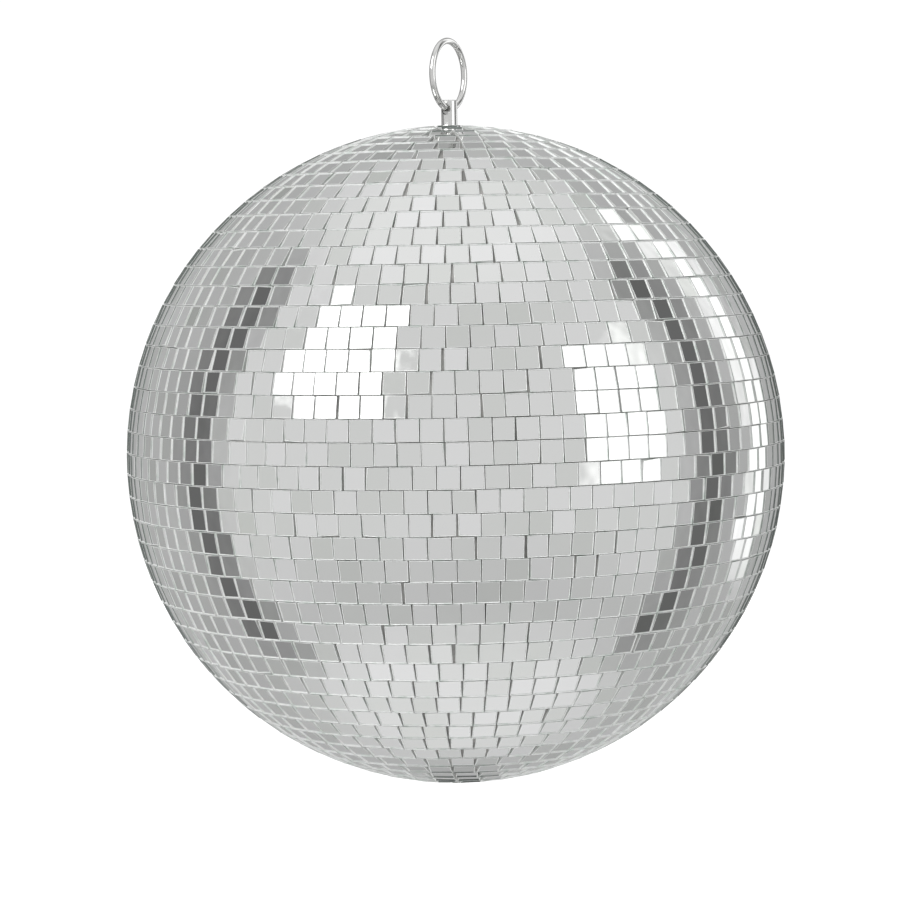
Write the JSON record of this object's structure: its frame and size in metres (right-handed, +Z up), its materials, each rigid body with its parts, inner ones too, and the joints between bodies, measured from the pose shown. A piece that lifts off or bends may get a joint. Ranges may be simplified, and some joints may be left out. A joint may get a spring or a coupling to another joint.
{
  "type": "mirror ball",
  "caption": "Hanging mirror ball: square glass mirror tiles in rings on a hollow core, hung by a wire ring through a cross-drilled stem.",
  "frame": {"origin": "the point at the top inside of the wire ring, where a hook bears", "axes": "+Z up along the ball's axis; +X along the stem's cross-hole, in the plane of the ring; +Y through the ring's eye"},
  "size_m": [0.3052, 0.3052, 0.3454],
  "materials": {
    "mirror_glass": "silvered clear glass with ground edges",
    "ring_chrome": "bright nickel-chrome plated wire",
    "stem_chrome": "bright plated, turned",
    "zinc_steel": "dull zinc plated",
    "core_plastic": "moulded, matt",
    "tile_glue": "dried adhesive, light grey"
  },
  "bodies": {
    "ring": {"hanging_ring": "ring_chrome"},
    "ball": {"bottom_mirror": "mirror_glass", "core_lower": "core_plastic", "core_upper": "core_plastic", "glue_coat": "tile_glue", "hanger_stem": "stem_chrome", "hex_nut": "zinc_steel", "inner_plate": "zinc_steel", "seat_washer": "zinc_steel", "spring_washer": "zinc_steel", "tile_row_equator": "mirror_glass", "tile_row_lower_01": "mirror_glass", "tile_row_lower_02": "mirror_glass", "tile_row_lower_03": "mirror_glass", "tile_row_lower_04": "mirror_glass", "tile_row_lower_05": "mirror_glass", "tile_row_lower_06": "mirror_glass", "tile_row_lower_07": "mirror_glass", "tile_row_lower_08": "mirror_glass", "tile_row_lower_09": "mirror_glass", "tile_row_lower_10": "mirror_glass", "tile_row_lower_11": "mirror_glass", "tile_row_lower_12": "mirror_glass", "tile_row_lower_13": "mirror_glass", "tile_row_lower_14": "mirror_glass", "tile_row_lower_15": "mirror_glass", "tile_row_lower_16": "mirror_glass", "tile_row_lower_17": "mirror_glass", "tile_row_lower_18": "mirror_glass", "tile_row_lower_19": "mirror_glass", "tile_row_lower_20": "mirror_glass", "tile_row_lower_21": "mirror_glass", "tile_row_lower_22": "mirror_glass", "tile_row_upper_01": "mirror_glass", "tile_row_upper_02": "mirror_glass", "tile_row_upper_03": "mirror_glass", "tile_row_upper_04": "mirror_glass", "tile_row_upper_05": "mirror_glass", "tile_row_upper_06": "mirror_glass", "tile_row_upper_07": "mirror_glass", "tile_row_upper_08": "mirror_glass", "tile_row_upper_09": "mirror_glass", "tile_row_upper_10": "mirror_glass", "tile_row_upper_11": "mirror_glass", "tile_row_upper_12": "mirror_glass", "tile_row_upper_13": "mirror_glass", "tile_row_upper_14": "mirror_glass", "tile_row_upper_15": "mirror_glass", "tile_row_upper_16": "mirror_glass", "tile_row_upper_17": "mirror_glass", "tile_row_upper_18": "mirror_glass", "tile_row_upper_19": "mirror_glass", "tile_row_upper_20": "mirror_glass", "tile_row_upper_21": "mirror_glass", "tile_row_upper_22": "mirror_glass"}
  },
  "joints": [
    {"name": "ball_swing", "type": "hinge", "parent": "ring", "child": "ball", "pos_m": [0, 0, -0.02989], "axis": [1, 0, 0], "range_deg": [-105, 105]}
  ]
}
